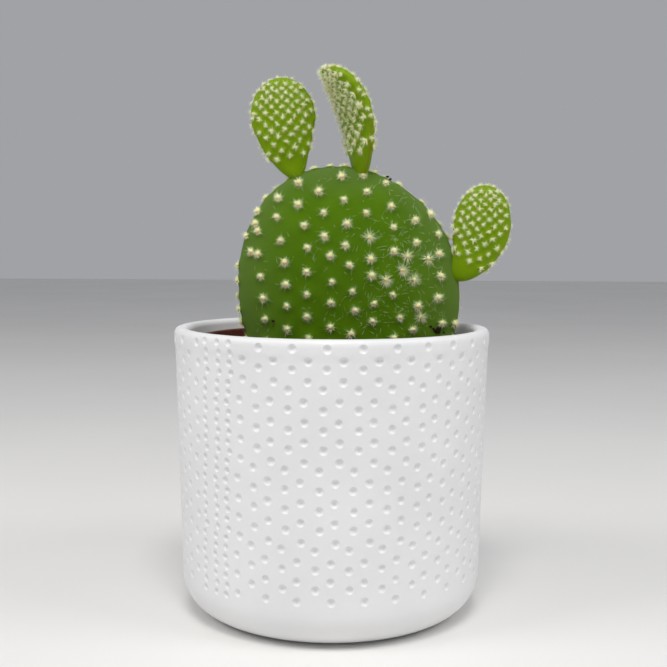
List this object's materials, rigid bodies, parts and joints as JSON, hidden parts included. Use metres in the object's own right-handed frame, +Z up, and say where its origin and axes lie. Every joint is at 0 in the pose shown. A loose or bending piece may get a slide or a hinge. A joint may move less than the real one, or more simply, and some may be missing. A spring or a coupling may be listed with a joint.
{
  "type": "potted paddle cactus",
  "caption": "Bunny-ear prickly pear with a large round pad and young pads on its edge, rooted in a nursery pot of soil inside a white dimpled cover pot.",
  "frame": {"origin": "centre of the cover pot's flat underside, on the surface it stands on", "axes": "+Z up; -Y is the front, which the big pad's face looks at; +X is the side with the low young pad"},
  "size_m": [0.1439, 0.135, 0.2309],
  "materials": {
    "white_ceramic": "satin",
    "brown_plastic": "semi-gloss",
    "soil": "matte",
    "root": "matte",
    "old_pad_green": "satin",
    "young_pad_green": "satin"
  },
  "bodies": {
    "root": {"cover_pot": "white_ceramic", "nursery_pot": "brown_plastic", "potting_soil": "soil", "roots": "root", "main_pad": "old_pad_green", "left_pad": "young_pad_green", "middle_pad": "young_pad_green", "right_pad": "young_pad_green"}
  },
  "joints": []
}
